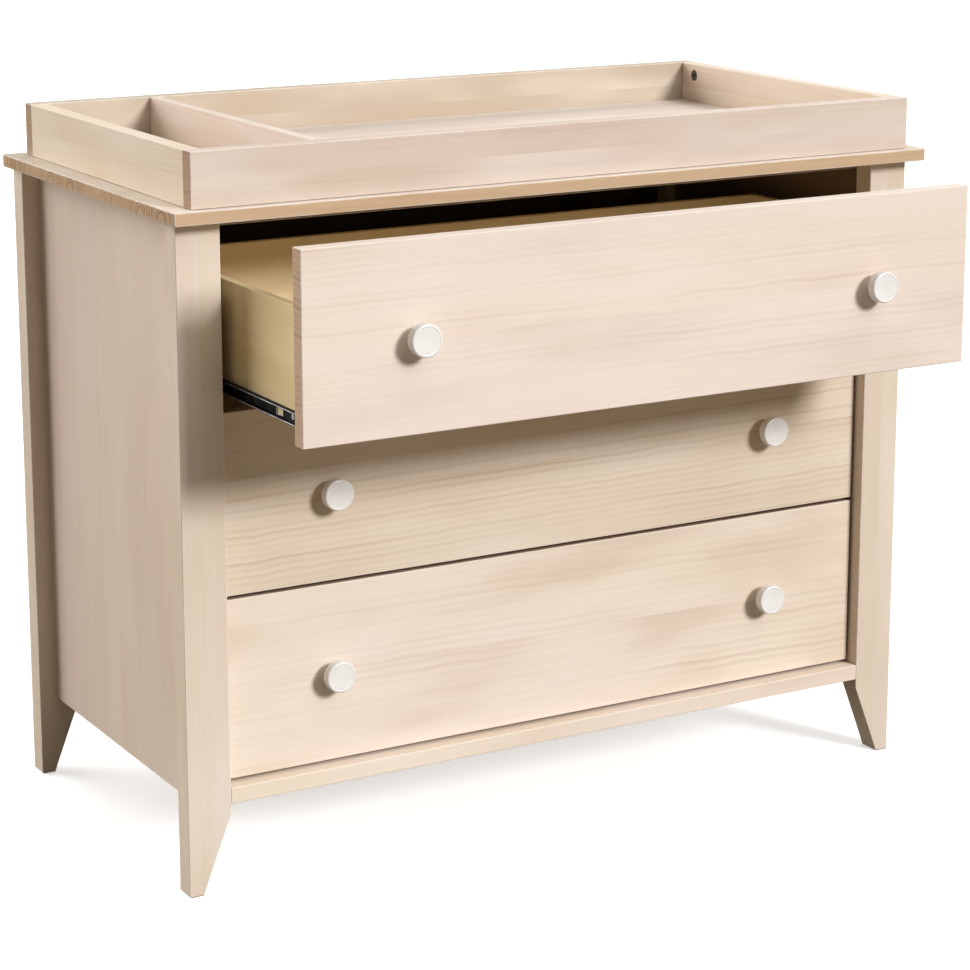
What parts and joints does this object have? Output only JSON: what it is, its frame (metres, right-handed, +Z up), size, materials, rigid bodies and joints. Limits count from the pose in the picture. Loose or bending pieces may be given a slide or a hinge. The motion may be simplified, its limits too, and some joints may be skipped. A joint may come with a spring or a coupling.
{
  "type": "changing table",
  "caption": "Low chest with drawers on ball-bearing runners, four tapered legs, and a shallow lift-off changing tray with a divider on its top.",
  "frame": {"origin": "on the floor, under the middle of the whole piece with its upper drawer standing open as at rest", "axes": "+X to the right as seen from the front, +Y to the back, +Z up; the drawers open along -Y"},
  "size_m": [1.04, 0.731, 0.8795],
  "materials": {
    "washed_pine": "whitewashed, matt, pinkish-beige with soft grain",
    "raw_ply": "raw, pale yellow, sanded",
    "black_steel": "black, satin, bright along its rolled edges",
    "zinc_steel": "zinc plated",
    "dark_cam": "dull grey casting",
    "white_lacquer": "white lacquer, satin"
  },
  "bodies": {
    "chest": {"top_panel": "washed_pine", "front_left_leg": "washed_pine", "front_right_leg": "washed_pine", "back_left_leg": "washed_pine", "back_right_leg": "washed_pine", "left_side_panel": "washed_pine", "right_side_panel": "washed_pine", "back_panel": "raw_ply", "front_bottom_rail": "washed_pine", "back_bottom_rail": "washed_pine", "front_top_rail": "washed_pine", "back_top_rail": "washed_pine", "runner_cleats": "washed_pine", "upper_cabinet_runners": "black_steel", "middle_cabinet_runners": "black_steel", "lower_cabinet_runners": "black_steel", "frame_cam_fittings": "zinc_steel", "frame_dowels": "raw_ply", "top_screws": "zinc_steel", "back_screws": "zinc_steel", "runner_screws": "zinc_steel", "anti_tip_bracket": "zinc_steel"},
    "upper_drawer": {"upper_drawer_front": "washed_pine", "upper_drawer_left_side": "raw_ply", "upper_drawer_right_side": "raw_ply", "upper_drawer_back": "raw_ply", "upper_drawer_bottom": "raw_ply", "upper_drawer_knobs": "white_lacquer", "upper_knob_screws": "zinc_steel", "upper_drawer_runners": "black_steel", "upper_drawer_fixings": "zinc_steel"},
    "upper_carriage": {"upper_runner_carriages": "black_steel"},
    "middle_drawer": {"middle_drawer_front": "washed_pine", "middle_drawer_left_side": "raw_ply", "middle_drawer_right_side": "raw_ply", "middle_drawer_back": "raw_ply", "middle_drawer_bottom": "raw_ply", "middle_drawer_knobs": "white_lacquer", "middle_knob_screws": "zinc_steel", "middle_drawer_runners": "black_steel", "middle_drawer_fixings": "zinc_steel"},
    "middle_carriage": {"middle_runner_carriages": "black_steel"},
    "lower_drawer": {"lower_drawer_front": "washed_pine", "lower_drawer_left_side": "raw_ply", "lower_drawer_right_side": "raw_ply", "lower_drawer_back": "raw_ply", "lower_drawer_bottom": "raw_ply", "lower_drawer_knobs": "white_lacquer", "lower_knob_screws": "zinc_steel", "lower_drawer_runners": "black_steel", "lower_drawer_fixings": "zinc_steel"},
    "lower_carriage": {"lower_runner_carriages": "black_steel"},
    "changing_tray": {"tray_front": "washed_pine", "tray_back": "washed_pine", "tray_left_side": "washed_pine", "tray_right_side": "washed_pine", "tray_divider": "washed_pine", "tray_floor": "washed_pine", "tray_fixings": "dark_cam"}
  },
  "joints": [
    {"name": "upper_drawer_slide", "type": "slide", "parent": "chest", "child": "upper_drawer", "axis": [0, -1, 0], "range_m": [-0.215, 0.175]},
    {"name": "upper_carriage_slide", "type": "slide", "parent": "chest", "child": "upper_carriage", "axis": [0, -1, 0], "range_m": [-0.1075, 0.0875]},
    {"name": "middle_drawer_slide", "type": "slide", "parent": "chest", "child": "middle_drawer", "axis": [0, -1, 0], "range_m": [0, 0.39]},
    {"name": "middle_carriage_slide", "type": "slide", "parent": "chest", "child": "middle_carriage", "axis": [0, -1, 0], "range_m": [0, 0.195]},
    {"name": "lower_drawer_slide", "type": "slide", "parent": "chest", "child": "lower_drawer", "axis": [0, -1, 0], "range_m": [0, 0.39]},
    {"name": "lower_carriage_slide", "type": "slide", "parent": "chest", "child": "lower_carriage", "axis": [0, -1, 0], "range_m": [0, 0.195]},
    {"name": "tray_lift", "type": "slide", "parent": "chest", "child": "changing_tray", "axis": [0, 0, 1], "range_m": [0, 0.06]}
  ],
  "couplings": [
    {"joint": "upper_carriage_slide", "follows": "upper_drawer_slide", "ratio": 0.5},
    {"joint": "middle_carriage_slide", "follows": "middle_drawer_slide", "ratio": 0.5},
    {"joint": "lower_carriage_slide", "follows": "lower_drawer_slide", "ratio": 0.5}
  ]
}
